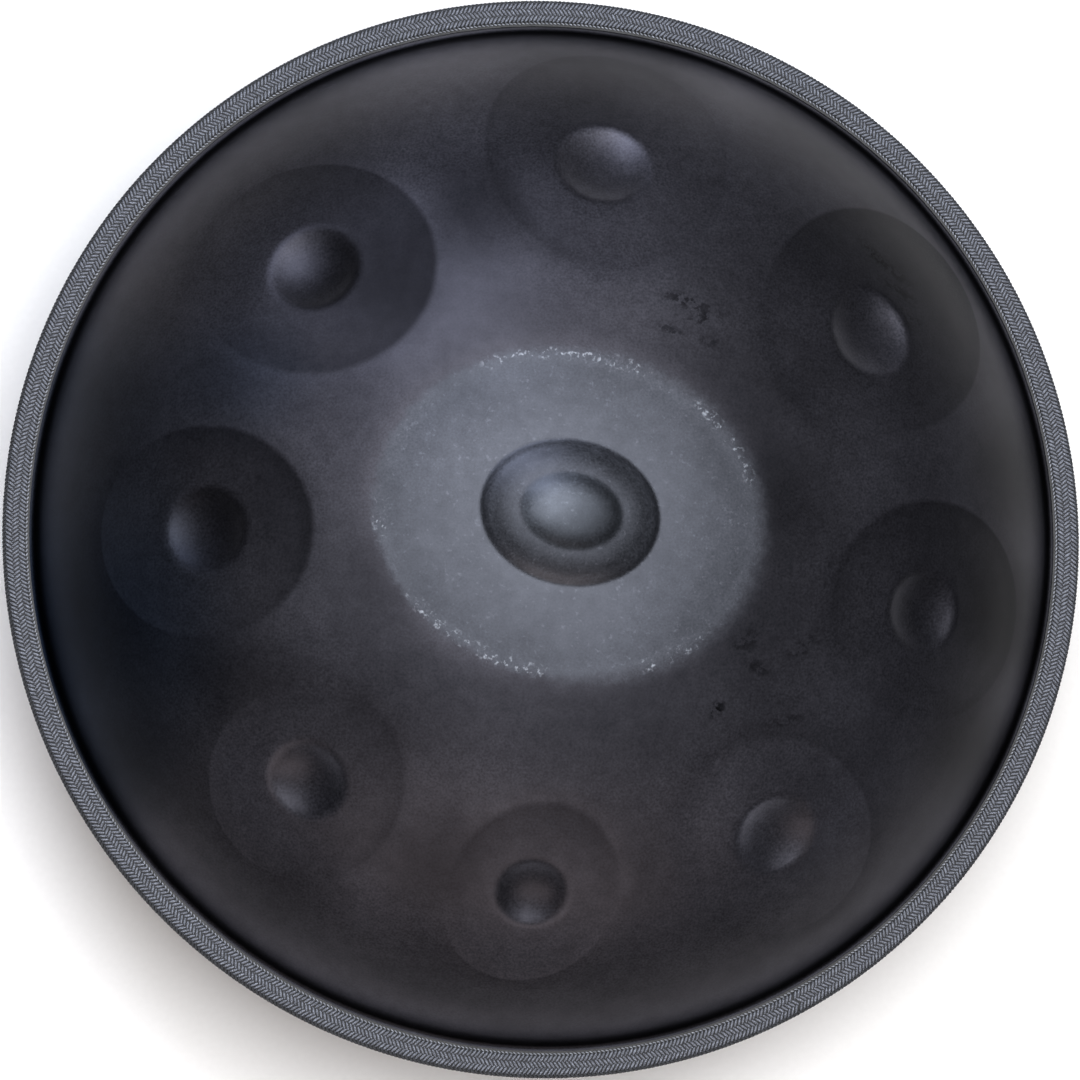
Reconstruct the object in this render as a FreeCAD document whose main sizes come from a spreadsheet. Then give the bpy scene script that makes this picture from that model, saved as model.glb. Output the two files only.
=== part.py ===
import FreeCAD, Part
import math
import os

import Sketcher

# A handpan: two drawn steel shells bonded at their flanges, with a rubber edge
# channel and a braided trim round the rim.
# Millimetres. The origin is on the axis, in the plane of the flat land that the
# instrument rests on. +Z points up, through the ding.

sizes = {
    # sheet steel and the shape shared by both shells
    "wall": 1.1,
    "foot_radius": 251.5,
    "foot_slope": 61.6,
    "bend_radius": 3.0,
    "flange_width": 9.6,
    "shoulder_share": 1.526,
    "dome_height": 119.6,
    "lower_depth": 115.0,
    # bond between the flanges
    "glue_line": 0.8,
    "glue_setback": 0.4,
    "tool_overrun": 2.0,
    # rubber channel
    "channel_wall": 1.6,
    "channel_gap": 0.1,
    "channel_setback": 0.5,
    "channel_corner": 2.0,
    # braided trim and its edge cords
    "braid_wall": 2.1,
    "braid_gap": 0.1,
    "braid_setback": 1.9,
    "seam_azimuth": -61.6,
    "seam_opening": 0.3,
    "cord_radius": 0.55,
    "cord_gap": 0.05,
    # sound port of the lower shell
    "port_radius": 52.0,
    "mouth_radius": 4.0,
    "land_width": 8.0,
    "neck_height": 14.0,
    # depths of the tone fields, their dimples and the ding
    "field_depth": 0.8,
    "field_reach": 26.0,
    "dimple_depth": 6.0,
    "ding_azimuth": -10.0,
    "dome_rise": 7.0,
    "button_seat": 4.8,
    "button_rise": 4.4,
    # the ding and the field table are laid out for a shell of this foot radius
    "layout_radius": 251.5,
}

# Sizes of the ding that grow with the shell.
ding_sizes = {
    "ding_length": 187.5,
    "ding_width": 157.5,
    "dome_length": 79.0,
    "dome_width": 65.5,
    "button_length": 48.2,
    "button_width": 36.9,
}

# One row for each outer tone field: azimuth and distance of its centre from the axis,
# half length towards the rim, half width round the rim, turn of that ellipse in its own
# plane, then the dimple's azimuth, distance from the axis and half width.
field_columns = ("azimuth", "radius", "half_length", "half_width", "turn",
                 "dimple_azimuth", "dimple_radius", "dimple_half")
angle_columns = ("azimuth", "turn", "dimple_azimuth")
fields = {
    "north": (82.6, 184.4, 68.7, 59.7, 4.0, 83.1, 175.8, 22.8),
    "northeast": (33.0, 188.8, 70.5, 58.0, -1.0, 31.8, 178.2, 22.3),
    "east": (-12.7, 188.0, 60.6, 53.4, 5.0, -13.2, 182.0, 20.3),
    "southeast": (-55.0, 187.1, 56.4, 47.0, 8.0, -55.1, 183.5, 20.0),
    "south": (-94.4, 181.2, 49.7, 41.0, -15.0, -94.4, 179.8, 17.3),
    "southwest": (-134.0, 177.4, 52.2, 47.2, 6.0, -134.2, 175.5, 18.7),
    "west": (-177.8, 173.4, 56.6, 50.8, -3.0, -178.0, 171.6, 20.5),
    "northwest": (134.4, 172.3, 61.8, 56.0, 20.0, 134.7, 170.4, 21.9),
}

# Sizes that follow from the others. Each shell is a crown arc that runs smoothly into a
# shoulder arc, which meets the bend at the foot at the given slope. Heights are measured
# from the rim's middle plane, away from it for both shells.
formulas = {
    "layout": "foot_radius / layout_radius",
    "flange_radius": "foot_radius + flange_width",
    "flange_half": "glue_line / 2 + wall",
    "channel_core": "flange_radius + channel_gap",
    "channel_half": "flange_half + channel_wall",
    "channel_mouth": "foot_radius + channel_setback",
    "braid_core": "channel_core + channel_wall + braid_gap",
    "braid_edge": "channel_mouth + braid_setback",
    "land_radius": "port_radius + mouth_radius + land_width",
    "foot_height": "flange_half + bend_radius",
    "upper_shoulder": "shoulder_share * dome_height",
    "upper_across": "foot_radius - (upper_shoulder + bend_radius) * sin(foot_slope)",
    "upper_drop": "dome_height - foot_height + (upper_shoulder + bend_radius) * cos(foot_slope)",
    "upper_crown": "(upper_across ^ 2 + upper_drop ^ 2 - upper_shoulder ^ 2)"
                   " / (2 * (upper_drop - upper_shoulder))",
    "lower_shoulder": "shoulder_share * lower_depth",
    "lower_across": "foot_radius - (lower_shoulder + bend_radius) * sin(foot_slope)",
    "lower_drop": "lower_depth - foot_height + (lower_shoulder + bend_radius) * cos(foot_slope)",
    "lower_ratio": "lower_shoulder / lower_drop",
    "lower_lift": "(lower_across ^ 2 + lower_drop ^ 2 - lower_shoulder ^ 2 - land_radius ^ 2)"
                  " / (2 * lower_drop)",
    "lower_spread": "1 - lower_ratio ^ 2",
    "lower_root": "sqrt((lower_lift * lower_ratio) ^ 2"
                  " + lower_spread * (lower_lift ^ 2 + land_radius ^ 2))",
    "lower_crown": "(lower_lift * lower_ratio + lower_root) / lower_spread",
}

doc = FreeCAD.newDocument("handpan")


def fill_sheet():
    sheet = doc.addObject("Spreadsheet::Sheet", "Sizes")
    rows = {name: str(value) for name, value in sizes.items()}
    for name, formula in formulas.items():
        rows[name] = "=" + formula
    for name, value in ding_sizes.items():
        rows[name] = "=%s * layout" % value
    for name, values in fields.items():
        for column, value in zip(field_columns, values):
            fixed = column in angle_columns
            rows["%s_%s" % (name, column)] = str(value) if fixed else "=%s * layout" % value
    for row, (alias, content) in enumerate(rows.items(), start=1):
        sheet.set("A%d" % row, alias)
        sheet.set("B%d" % row, content)
        sheet.setAlias("B%d" % row, alias)
    doc.recompute()
    return sheet


sheet = fill_sheet()


def size(alias):
    return float(sheet.get(alias))


def vector(point):
    return FreeCAD.Vector(point[0], point[1], 0)


START, END, CENTRE = 1, 2, 3
ACROSS, AXIS = -1, -2


# ---- outlines in the half plane: first number the radius, second the height ----

class Outline:
    def __init__(self, sketch):
        self.sketch = sketch

    def line(self, start, end, construction=False):
        return self.sketch.addGeometry(Part.LineSegment(vector(start), vector(end)), construction)

    def arc(self, centre, start, end):
        # turns anticlockwise from start to end
        first = math.atan2(start[1] - centre[1], start[0] - centre[0])
        last = math.atan2(end[1] - centre[1], end[0] - centre[0])
        if last < first:
            last += 2 * math.pi
        circle = Part.Circle(vector(centre), FreeCAD.Vector(0, 0, 1), math.dist(centre, start))
        return self.sketch.addGeometry(Part.ArcOfCircle(circle, first, last), False)

    def add(self, *constraint):
        return self.sketch.addConstraint(Sketcher.Constraint(*constraint))

    def join(self, *ends):
        self.add("Coincident", *ends)

    def smooth(self, *ends):
        self.add("Tangent", *ends)

    def bind(self, index, name, formula):
        self.sketch.renameConstraint(index, name)
        self.sketch.setExpression("Constraints." + name, formula)

    def radius(self, name, edge, formula):
        value = self.sketch.Geometry[edge].Radius
        self.bind(self.add("Radius", edge, value), name, formula)

    def length(self, name, edge, formula):
        line = self.sketch.Geometry[edge]
        value = line.StartPoint.distanceToPoint(line.EndPoint)
        self.bind(self.add("Distance", edge, value), name, formula)

    def across(self, name, edge, end, formula):
        value = self.sketch.getPoint(edge, end).x
        self.bind(self.add("DistanceX", ACROSS, START, edge, end, value), name, formula)

    def up(self, name, edge, end, formula):
        value = self.sketch.getPoint(edge, end).y
        self.bind(self.add("DistanceY", ACROSS, START, edge, end, value), name, formula)


def towards(start, end, distance):
    share = distance / math.dist(start, end)
    return (start[0] + share * (end[0] - start[0]), start[1] + share * (end[1] - start[1]))


def upper_centres():
    top = size("lower_depth") + size("dome_height")
    crown = (0, top - size("upper_crown"))
    shoulder = (size("upper_across"), top - size("upper_drop"))
    foot = (size("foot_radius"), size("lower_depth") + size("foot_height"))
    return crown, shoulder, foot


def lower_centres():
    crown = (0, math.sqrt(size("lower_crown") ** 2 - size("land_radius") ** 2))
    shoulder = (size("lower_across"), size("lower_drop"))
    foot = (size("foot_radius"), size("lower_depth") - size("foot_height"))
    return crown, shoulder, foot


# ---- small builders ----

def cut(name, base, tool):
    result = doc.addObject("Part::Cut", name)
    result.Base = base
    result.Tool = tool
    return result


def fuse(name, members):
    result = doc.addObject("Part::MultiFuse", name)
    result.Shapes = members
    return result


def compound(name, members):
    group = doc.addObject("Part::Compound", name)
    group.Links = members
    return group


def turned_form(name):
    # a sketch in the half plane and the solid that it turns round the axis
    sketch = doc.addObject("Sketcher::SketchObject", name + "_outline")
    upright = FreeCAD.Rotation(FreeCAD.Vector(1, 0, 0), 90)
    sketch.Placement = FreeCAD.Placement(FreeCAD.Vector(0, 0, 0), upright)
    form = doc.addObject("Part::Revolution", name)
    form.Source = sketch
    form.Axis = FreeCAD.Vector(0, 0, 1)
    form.Base = FreeCAD.Vector(0, 0, 0)
    form.Angle = 360
    form.Solid = True
    return form, Outline(sketch)


# ---- upper shell: the ding side ----

def outer_form():
    # solid inside the upper shell's outer face, with its flange
    crown, shoulder, foot = upper_centres()
    form, outline = turned_form("outer_form")
    top = (0, crown[1] + size("upper_crown"))
    crest = towards(crown, shoulder, size("upper_crown"))
    root = towards(foot, shoulder, size("bend_radius"))
    flat = (foot[0], foot[1] - size("bend_radius"))
    rim = (size("flange_radius"), flat[1])
    under = (rim[0], rim[1] - size("wall"))
    crown_arc = outline.arc(crown, crest, top)
    shoulder_arc = outline.arc(shoulder, root, crest)
    bend = outline.arc(foot, root, flat)
    flange = outline.line(flat, rim)
    edge = outline.line(rim, under)
    floor = outline.line(under, (0, under[1]))
    axis = outline.line((0, under[1]), top)
    outline.smooth(crown_arc, START, shoulder_arc, END)
    outline.smooth(shoulder_arc, START, bend, START)
    outline.join(bend, END, flange, START)
    outline.join(flange, END, edge, START)
    outline.join(edge, END, floor, START)
    outline.join(floor, END, axis, START)
    outline.join(axis, END, crown_arc, END)
    outline.add("PointOnObject", crown_arc, CENTRE, AXIS)
    outline.add("PointOnObject", crown_arc, END, AXIS)
    outline.add("Vertical", bend, END, bend, CENTRE)
    outline.add("Horizontal", flange)
    outline.add("Vertical", edge)
    outline.add("Horizontal", floor)
    outline.add("Vertical", axis)
    outline.radius("crown", crown_arc, "Sizes.upper_crown")
    outline.radius("shoulder", shoulder_arc, "Sizes.upper_shoulder")
    outline.radius("bend", bend, "Sizes.bend_radius")
    outline.up("top", crown_arc, END, "Sizes.lower_depth + Sizes.dome_height")
    outline.across("foot", bend, END, "Sizes.foot_radius")
    outline.up("flange_face", bend, END, "Sizes.lower_depth + Sizes.flange_half")
    outline.across("rim", flange, END, "Sizes.flange_radius")
    outline.length("thickness", edge, "Sizes.wall")
    return form


def inset_form(name, inset, formula):
    # solid inside a face that lies below the upper shell's outer face by the inset
    crown, shoulder, foot = upper_centres()
    form, outline = turned_form(name)
    radius = size("upper_shoulder") - inset
    base = size("lower_depth") - size("tool_overrun")
    top = (0, crown[1] + size("upper_crown") - inset)
    crest = towards(crown, shoulder, size("upper_crown") - inset)
    end = (shoulder[0] + math.sqrt(radius ** 2 - (base - shoulder[1]) ** 2), base)
    crown_arc = outline.arc(crown, crest, top)
    shoulder_arc = outline.arc(shoulder, end, crest)
    floor = outline.line(end, (0, base))
    axis = outline.line((0, base), top)
    outline.smooth(crown_arc, START, shoulder_arc, END)
    outline.join(shoulder_arc, START, floor, START)
    outline.join(floor, END, axis, START)
    outline.join(axis, END, crown_arc, END)
    outline.add("PointOnObject", crown_arc, CENTRE, AXIS)
    outline.add("PointOnObject", crown_arc, END, AXIS)
    outline.add("Horizontal", floor)
    outline.add("Vertical", axis)
    outline.radius("crown", crown_arc, "Sizes.upper_crown - " + formula)
    outline.radius("shoulder", shoulder_arc, "Sizes.upper_shoulder - " + formula)
    outline.up("top", crown_arc, END, "Sizes.lower_depth + Sizes.dome_height - " + formula)
    outline.across("shoulder_across", shoulder_arc, CENTRE, "Sizes.upper_across")
    outline.up("base", floor, END, "Sizes.lower_depth - Sizes.tool_overrun")
    return form


def on_dome(azimuth, radius, turn_in_plane):
    # placement on the shoulder's outer face: Z along the normal, X towards the rim before the turn
    crown, shoulder, foot = upper_centres()
    tilt = math.asin((radius - shoulder[0]) / size("upper_shoulder"))
    height = shoulder[1] + size("upper_shoulder") * math.cos(tilt)
    spin = FreeCAD.Rotation(FreeCAD.Vector(0, 0, 1), turn_in_plane)
    lean = FreeCAD.Rotation(FreeCAD.Vector(0, 1, 0), math.degrees(tilt))
    turn = FreeCAD.Rotation(FreeCAD.Vector(0, 0, 1), azimuth)
    return FreeCAD.Placement(turn.multVec(FreeCAD.Vector(radius, 0, height)), turn * lean * spin)


def on_ding(height):
    turn = FreeCAD.Rotation(FreeCAD.Vector(0, 0, 1), size("ding_azimuth"))
    return FreeCAD.Placement(FreeCAD.Vector(0, 0, height), turn)


def ellipse_prism(name, placement, half_length, half_width):
    # elliptical prism across the wall; the half sizes are formulas
    ring = doc.addObject("Part::Ellipse", name + "_ring")
    ring.setExpression("MajorRadius", half_length)
    ring.setExpression("MinorRadius", half_width)
    ring.Placement = placement
    prism = doc.addObject("Part::Extrusion", name)
    prism.Base = ring
    prism.DirMode = "Custom"
    prism.Dir = placement.Rotation.multVec(FreeCAD.Vector(0, 0, 1))
    prism.Solid = True
    prism.setExpression("LengthFwd", "Sizes.field_reach")
    prism.setExpression("LengthRev", "Sizes.field_reach")
    return prism


def field_prisms(skin, growth):
    # the prisms that bound the recessed tone fields on one skin of the sheet
    prisms = []
    for name in fields:
        place = on_dome(size(name + "_azimuth"), size(name + "_radius"), size(name + "_turn"))
        prisms.append(ellipse_prism("%s_%s_field" % (skin, name), place,
                                    "Sizes.%s_half_length + %s" % (name, growth),
                                    "Sizes.%s_half_width + %s" % (name, growth)))
    prisms.append(ellipse_prism(skin + "_ding_field", on_ding(size("lower_depth") + size("dome_height")),
                                "Sizes.ding_length / 2 + " + growth,
                                "Sizes.ding_width / 2 + " + growth))
    return compound(skin + "_fields", prisms)


def dimples(skin, growth):
    # the balls that press the dimples in; the inner skin's are larger by the wall
    balls = []
    for name in fields:
        half = size(name + "_dimple_half")
        radius = (half ** 2 + size("dimple_depth") ** 2) / (2 * size("dimple_depth"))
        lift = radius - size("dimple_depth") - size("field_depth")
        place = on_dome(size(name + "_dimple_azimuth"), size(name + "_dimple_radius"), 0)
        place.Base = place.Base + place.Rotation.multVec(FreeCAD.Vector(0, 0, lift))
        ball = doc.addObject("Part::Sphere", "%s_%s_dimple" % (skin, name))
        ball.setExpression("Radius", "(Sizes.%s_dimple_half ^ 2 + Sizes.dimple_depth ^ 2)"
                           " / (2 * Sizes.dimple_depth) + %s" % (name, growth))
        ball.Placement = place
        balls.append(ball)
    return compound(skin + "_dimples", balls)


def ding_ovals(skin, growth):
    # two oval steps on the ding field: each shows the top quarter of an ellipsoid's height
    ovals = []
    for step, seat in (("dome", "0"), ("button", "Sizes.button_seat")):
        oval = doc.addObject("Part::Ellipsoid", "%s_%s" % (skin, step))
        oval.setExpression("Radius1", "Sizes.%s_rise * 2 - %s" % (step, growth))
        oval.setExpression("Radius2", "Sizes.%s_length / 3 ^ 0.5 - %s" % (step, growth))
        oval.setExpression("Radius3", "Sizes.%s_width / 3 ^ 0.5 - %s" % (step, growth))
        oval.Placement = on_ding(0)
        oval.setExpression("Placement.Base.z", "Sizes.lower_depth + Sizes.dome_height - Sizes.field_depth"
                           " - Sizes.%s_rise + %s" % (step, seat))
        ovals.append(oval)
    return ovals


def upper_shell():
    outer = outer_form()
    outer_recess = inset_form("outer_recess_form", size("field_depth"), "Sizes.field_depth")
    inner = inset_form("inner_form", size("wall"), "Sizes.wall")
    inner_recess = inset_form("inner_recess_form", size("wall") + size("field_depth"),
                              "(Sizes.wall + Sizes.field_depth)")
    outer_lenses = cut("outer_lenses", field_prisms("outer", "0"), outer_recess)
    inner_lenses = cut("inner_lenses", field_prisms("inner", "Sizes.wall"), inner_recess)
    outer_fields = cut("outer_with_fields", outer, outer_lenses)
    inner_fields = cut("inner_with_fields", inner, inner_lenses)
    outer_pressed = cut("outer_with_dimples", outer_fields, dimples("outer", "0"))
    inner_pressed = cut("inner_with_dimples", inner_fields, dimples("inner", "Sizes.wall"))
    outer_ding = fuse("outer_with_ding", [outer_pressed] + ding_ovals("outer", "0"))
    inner_ding = fuse("inner_with_ding", [inner_pressed] + ding_ovals("inner", "Sizes.wall"))
    return cut("upper_shell", outer_ding, inner_ding)


# ---- lower shell: the port side ----

def lower_shell():
    crown, shoulder, foot = lower_centres()
    wall = size("wall")
    port = size("port_radius")
    mouth = size("mouth_radius")
    neck = size("neck_height")
    body = doc.addObject("PartDesign::Body", "lower_shell")
    sketch = body.newObject("Sketcher::SketchObject", "lower_outline")
    plane = [item for item in body.Origin.OriginFeatures if item.Role == "XZ_Plane"][0]
    sketch.AttachmentSupport = [(plane, "")]
    sketch.MapMode = "FlatFace"
    outline = Outline(sketch)
    mouth_centre = (port + mouth, mouth)
    crest = towards(crown, shoulder, size("lower_crown"))
    inner_crest = towards(crown, shoulder, size("lower_crown") - wall)
    root = towards(foot, shoulder, size("bend_radius"))
    inner_root = towards(foot, shoulder, size("bend_radius") + wall)
    flat = (foot[0], foot[1] + size("bend_radius"))
    inner_flat = (foot[0], flat[1] + wall)
    rim = (size("flange_radius"), flat[1])
    top_rim = (rim[0], inner_flat[1])
    land = (size("land_radius"), 0)
    inner_land = (math.sqrt((size("lower_crown") - wall) ** 2 - (crown[1] - wall) ** 2), wall)
    throat = outline.line((port, neck), (port, mouth))
    lip = outline.arc(mouth_centre, (port, mouth), (port + mouth, 0))
    foot_land = outline.line((port + mouth, 0), land)
    crown_arc = outline.arc(crown, land, crest)
    shoulder_arc = outline.arc(shoulder, crest, root)
    bend = outline.arc(foot, flat, root)
    flange = outline.line(flat, rim)
    edge = outline.line(rim, top_rim)
    inner_flange = outline.line(top_rim, inner_flat)
    inner_bend = outline.arc(foot, inner_flat, inner_root)
    inner_shoulder = outline.arc(shoulder, inner_crest, inner_root)
    inner_crown = outline.arc(crown, inner_land, inner_crest)
    inner_foot = outline.line(inner_land, (port + mouth, wall))
    inner_lip = outline.arc(mouth_centre, (port + wall, mouth), (port + mouth, wall))
    inner_throat = outline.line((port + wall, mouth), (port + wall, neck))
    neck_end = outline.line((port + wall, neck), (port, neck))
    outline.smooth(throat, END, lip, START)
    outline.smooth(lip, END, foot_land, START)
    outline.join(foot_land, END, crown_arc, START)
    outline.smooth(crown_arc, END, shoulder_arc, START)
    outline.smooth(shoulder_arc, END, bend, END)
    outline.join(bend, START, flange, START)
    outline.join(flange, END, edge, START)
    outline.join(edge, END, inner_flange, START)
    outline.join(inner_flange, END, inner_bend, START)
    outline.smooth(inner_bend, END, inner_shoulder, END)
    outline.smooth(inner_shoulder, START, inner_crown, END)
    outline.join(inner_crown, START, inner_foot, START)
    outline.join(inner_foot, END, inner_lip, END)
    outline.join(inner_lip, START, inner_throat, START)
    outline.join(inner_throat, END, neck_end, START)
    outline.join(neck_end, END, throat, START)
    outline.join(inner_crown, CENTRE, crown_arc, CENTRE)
    outline.join(inner_bend, CENTRE, bend, CENTRE)
    outline.join(inner_lip, CENTRE, lip, CENTRE)
    outline.add("PointOnObject", crown_arc, CENTRE, AXIS)
    outline.add("Vertical", bend, START, bend, CENTRE)
    outline.add("Vertical", inner_bend, START, inner_bend, CENTRE)
    outline.add("Vertical", throat)
    outline.add("Horizontal", foot_land)
    outline.add("Horizontal", flange)
    outline.add("Vertical", edge)
    outline.add("Horizontal", inner_flange)
    outline.add("Horizontal", inner_foot)
    outline.add("Vertical", inner_throat)
    outline.add("Horizontal", neck_end)
    outline.add("Horizontal", inner_lip, START, inner_lip, CENTRE)
    outline.add("Vertical", inner_lip, END, inner_lip, CENTRE)
    outline.radius("crown", crown_arc, "Sizes.lower_crown")
    outline.radius("shoulder", shoulder_arc, "Sizes.lower_shoulder")
    outline.radius("bend", bend, "Sizes.bend_radius")
    outline.radius("inner_crown", inner_crown, "Sizes.lower_crown - Sizes.wall")
    outline.radius("inner_shoulder", inner_shoulder, "Sizes.lower_shoulder - Sizes.wall")
    outline.radius("inner_bend", inner_bend, "Sizes.bend_radius + Sizes.wall")
    outline.radius("lip", lip, "Sizes.mouth_radius")
    outline.radius("inner_lip", inner_lip, "Sizes.mouth_radius - Sizes.wall")
    outline.across("port", throat, START, "Sizes.port_radius")
    outline.up("neck", throat, START, "Sizes.neck_height")
    outline.add("PointOnObject", crown_arc, START, ACROSS)
    outline.across("land", crown_arc, START, "Sizes.land_radius")
    outline.across("foot", bend, START, "Sizes.foot_radius")
    outline.up("flange_face", bend, START, "Sizes.lower_depth - Sizes.flange_half")
    outline.across("rim", flange, END, "Sizes.flange_radius")
    turned = body.newObject("PartDesign::Revolution", "lower_turning")
    turned.Profile = sketch
    turned.ReferenceAxis = (sketch, ["V_Axis"])
    turned.Angle = 360
    return body


# ---- the bond, the rubber channel and the braided trim ----

def disc(name, radius, half_height):
    # a disc centred on the rim's middle plane; both sizes are formulas
    plate = doc.addObject("Part::Cylinder", name)
    plate.setExpression("Radius", radius)
    plate.setExpression("Height", "2 * (%s)" % half_height)
    plate.setExpression("Placement.Base.z", "Sizes.lower_depth - (%s)" % half_height)
    return plate


def flange_adhesive():
    half = "Sizes.glue_line / 2"
    bead = disc("bead", "Sizes.flange_radius - Sizes.glue_setback", half)
    bore = disc("bead_bore", "Sizes.foot_radius + Sizes.glue_setback", half)
    return cut("flange_adhesive", bead, bore)


def gripping_ring(name, core, core_half, wall, corner, mouth):
    # a ring of U section, open towards the axis, over a core of the given size
    blank = disc(name + "_blank", "%s + Sizes.%s" % (core, wall), "%s + Sizes.%s" % (core_half, wall))
    doc.recompute()
    rounded = doc.addObject("Part::Fillet", name + "_rounded")
    rounded.Base = blank
    rims = [number for number, edge in enumerate(blank.Shape.Edges, start=1) if edge.Closed]
    rounded.Edges = [(number, corner, corner) for number in rims]
    slot = disc(name + "_slot", core, core_half)
    bore = disc(name + "_bore", mouth, "%s + Sizes.%s" % (core_half, wall))
    return cut(name, rounded, fuse(name + "_hollow", [slot, bore]))


def rim_channel():
    return gripping_ring("rim_channel", "Sizes.channel_core", "Sizes.flange_half", "channel_wall",
                         size("channel_corner"), "Sizes.channel_mouth")


def rim_braid():
    sleeve = gripping_ring("braid_sleeve", "Sizes.braid_core", "Sizes.channel_half", "braid_wall",
                           size("channel_corner") + size("braid_wall"), "Sizes.braid_edge")
    seam = doc.addObject("Part::Box", "braid_seam")
    seam.setExpression("Length", "Sizes.braid_core + 2 * Sizes.braid_wall")
    seam.setExpression("Width", "Sizes.seam_opening")
    seam.setExpression("Height", "2 * Sizes.lower_depth")
    turn = FreeCAD.Rotation(FreeCAD.Vector(0, 0, 1), size("seam_azimuth"))
    corner = turn.multVec(FreeCAD.Vector(0, -size("seam_opening") / 2, 0))
    seam.Placement = FreeCAD.Placement(corner, turn)
    return cut("rim_braid", sleeve, seam)


def edge_cord(name, side):
    # the cord along the braid's inner edge, lying on the rubber channel
    cord = doc.addObject("Part::Torus", name)
    cord.setExpression("Radius1", "Sizes.braid_edge - Sizes.cord_radius - Sizes.cord_gap")
    cord.setExpression("Radius2", "Sizes.cord_radius")
    cord.setExpression("Placement.Base.z",
                       "Sizes.lower_depth %s (Sizes.channel_half + Sizes.cord_radius)" % side)
    return cord


def check(pieces):
    for item in doc.Objects:
        if "Invalid" in item.State or "Error" in item.State:
            raise RuntimeError("%s failed: %s" % (item.Name, item.State))
    for piece in pieces:
        if piece.Shape.isNull() or not piece.Shape.isValid() or not piece.Shape.Solids:
            raise RuntimeError("%s has no sound solid" % piece.Label)


def main():
    pieces = [
        upper_shell(),
        lower_shell(),
        flange_adhesive(),
        rim_channel(),
        rim_braid(),
        edge_cord("rim_cord_upper", "+"),
        edge_cord("rim_cord_lower", "-"),
    ]
    doc.recompute()
    for piece in pieces:
        piece.Label = piece.Name
    check(pieces)
    os.makedirs("parts", exist_ok=True)
    for piece in pieces:
        piece.Shape.exportStep("parts/%s.step" % piece.Label)
        print("%-16s %d solid, %9.1f mm3" % (piece.Label, len(piece.Shape.Solids), piece.Shape.Volume))


main()
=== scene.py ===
import math

import bmesh
import bpy
import numpy as np
from mathutils import Euler, Matrix, Vector


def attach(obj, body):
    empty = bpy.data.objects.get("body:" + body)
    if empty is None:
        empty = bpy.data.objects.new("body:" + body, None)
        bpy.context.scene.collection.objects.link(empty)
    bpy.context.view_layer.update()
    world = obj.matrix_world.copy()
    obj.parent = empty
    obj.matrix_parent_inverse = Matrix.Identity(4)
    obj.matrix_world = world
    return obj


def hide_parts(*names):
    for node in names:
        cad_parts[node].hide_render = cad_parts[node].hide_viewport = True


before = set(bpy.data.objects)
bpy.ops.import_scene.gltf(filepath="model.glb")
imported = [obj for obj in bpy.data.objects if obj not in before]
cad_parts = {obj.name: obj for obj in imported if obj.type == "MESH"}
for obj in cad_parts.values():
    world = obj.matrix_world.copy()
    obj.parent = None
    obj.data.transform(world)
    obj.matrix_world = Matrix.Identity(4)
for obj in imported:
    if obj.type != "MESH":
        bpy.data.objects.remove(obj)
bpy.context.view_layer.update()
scene = bpy.context.scene
scene.view_settings.view_transform = "Standard"
mm = 0.001


# small helpers

def addNode(tree, kind, feeds=None, **settings):
    # adds one node with its settings; feeds gives its inputs a value or another node's output
    node = tree.nodes.new("ShaderNode" + kind)
    for name, value in settings.items():
        setattr(node, name, value)
    for socket, value in (feeds or {}).items():
        if isinstance(value, bpy.types.NodeSocket):
            tree.links.new(value, node.inputs[socket])
        else:
            node.inputs[socket].default_value = value
    return node


def hexColour(code):
    # an sRGB hex value as linear red, green, blue and alpha
    parts = [int(code[i:i + 2], 16) / 255 for i in (1, 3, 5)]
    return tuple(p / 12.92 if p < 0.04045 else ((p + 0.055) / 1.055) ** 2.4 for p in parts) + (1.0,)


def newMaterial(name):
    material = bpy.data.materials.new(name)
    material.use_nodes = True
    tree = material.node_tree
    return material, tree, tree.nodes["Principled BSDF"]


def newPiece(name, bm, material, smooth=True):
    mesh = bpy.data.meshes.new(name)
    bm.to_mesh(mesh)
    bm.free()
    mesh.materials.append(material)
    if smooth:
        mesh.shade_smooth()
    piece = bpy.data.objects.new(name, mesh)
    scene.collection.objects.link(piece)
    return piece


def settle(piece, slotName, *nodes):
    # rides on the one body and stands for its CAD nodes
    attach(piece, "root")
    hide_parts(*nodes)
    print("made", piece.name, len(piece.data.polygons), "faces")


def runArc(bm, vert, centre, degrees, steps):
    # carries a vertex round a centre in the half plane and leaves an arc; plus is outwards from the top
    made = bmesh.ops.spin(bm, geom=[vert], cent=(centre[0], 0, centre[1]), axis=(0, 1, 0), dvec=(0, 0, 0),
                          angle=math.radians(degrees), steps=steps, use_merge=False, use_duplicate=False)
    return [item for item in made["geom_last"] if isinstance(item, bmesh.types.BMVert)][0]


def runLine(bm, vert, end, steps=1):
    # carries a vertex along a straight run to end and leaves its edges
    move = (Vector((end[0], 0, end[1])) - vert.co) / steps
    for step in range(steps):
        made = bmesh.ops.extrude_vert_indiv(bm, verts=[vert])
        vert = made["verts"][0]
        bmesh.ops.translate(bm, verts=[vert], vec=move)
    return vert


def repeatRound(bm, pitch, counts):
    # repeats everything round the axis, first at the pitch and then in ever larger groups
    for count in counts:
        bmesh.ops.spin(bm, geom=bm.verts[:] + bm.edges[:] + bm.faces[:], cent=(0, 0, 0), axis=(0, 0, 1),
                       dvec=(0, 0, 0), angle=pitch * (count - 1), steps=count - 1,
                       use_merge=False, use_duplicate=True)
        pitch *= count


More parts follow.
